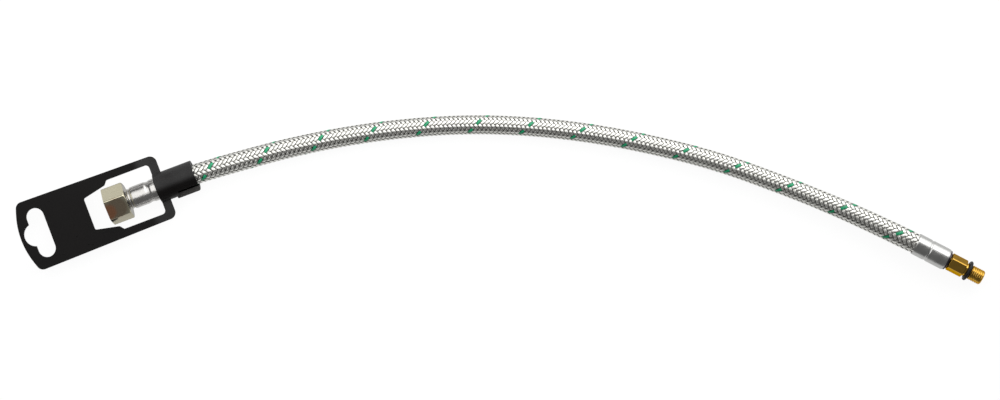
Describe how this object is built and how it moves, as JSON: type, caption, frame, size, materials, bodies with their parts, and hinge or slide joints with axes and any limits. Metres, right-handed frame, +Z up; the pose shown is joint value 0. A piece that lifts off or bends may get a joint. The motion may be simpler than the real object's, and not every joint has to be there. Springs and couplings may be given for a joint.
{
  "type": "flexible tap connector",
  "caption": "Flexible braided tap connector with a swivel union nut at one end, a screwed brass tail at the other and a moulded hanging tag clipped round its nut end.",
  "frame": {"origin": "on the bench, under the middle of the box round the fittings of both ends and the tag, without the hose", "axes": "+X along the union nut's axis, from its mouth towards the hose; +Z up from the bench, parallel to the hanging tag's normal; the tap end lies towards +X and -Y"},
  "size_m": [0.5846, 0.2728, 0.0245],
  "materials": {
    "nickel_plate": "nickel plate, warm, satin bright",
    "stainless_steel": "bright drawn and crimped stainless steel",
    "braid_steel": "woven fine wire with one green tracer strand",
    "brass": "bright turned brass",
    "black_rubber": "matte black rubber",
    "washer_fibre": "dark flat seal washer",
    "black_plastic": "black moulded plastic, satin"
  },
  "bodies": {
    "hose_assembly": {"nut_end_tail": "stainless_steel", "nut_end_ferrule": "stainless_steel", "hose_liner": "black_rubber", "braided_sleeve": "braid_steel", "tap_end_ferrule": "stainless_steel", "tap_end_tail": "brass", "o_ring": "black_rubber"},
    "swivel_nut": {"union_nut": "nickel_plate", "seal_washer": "washer_fibre"},
    "tag": {"hanging_tag": "black_plastic"}
  },
  "joints": [
    {"name": "nut_swivel", "type": "hinge", "parent": "hose_assembly", "child": "swivel_nut", "pos_m": [-0.21929, 0.11297, 0.01225], "axis": [1, 0, 0], "continuous": true},
    {"name": "tag_turn", "type": "hinge", "parent": "hose_assembly", "child": "tag", "pos_m": [-0.19379, 0.11297, 0.01225], "axis": [1, 0, 0], "continuous": true}
  ]
}
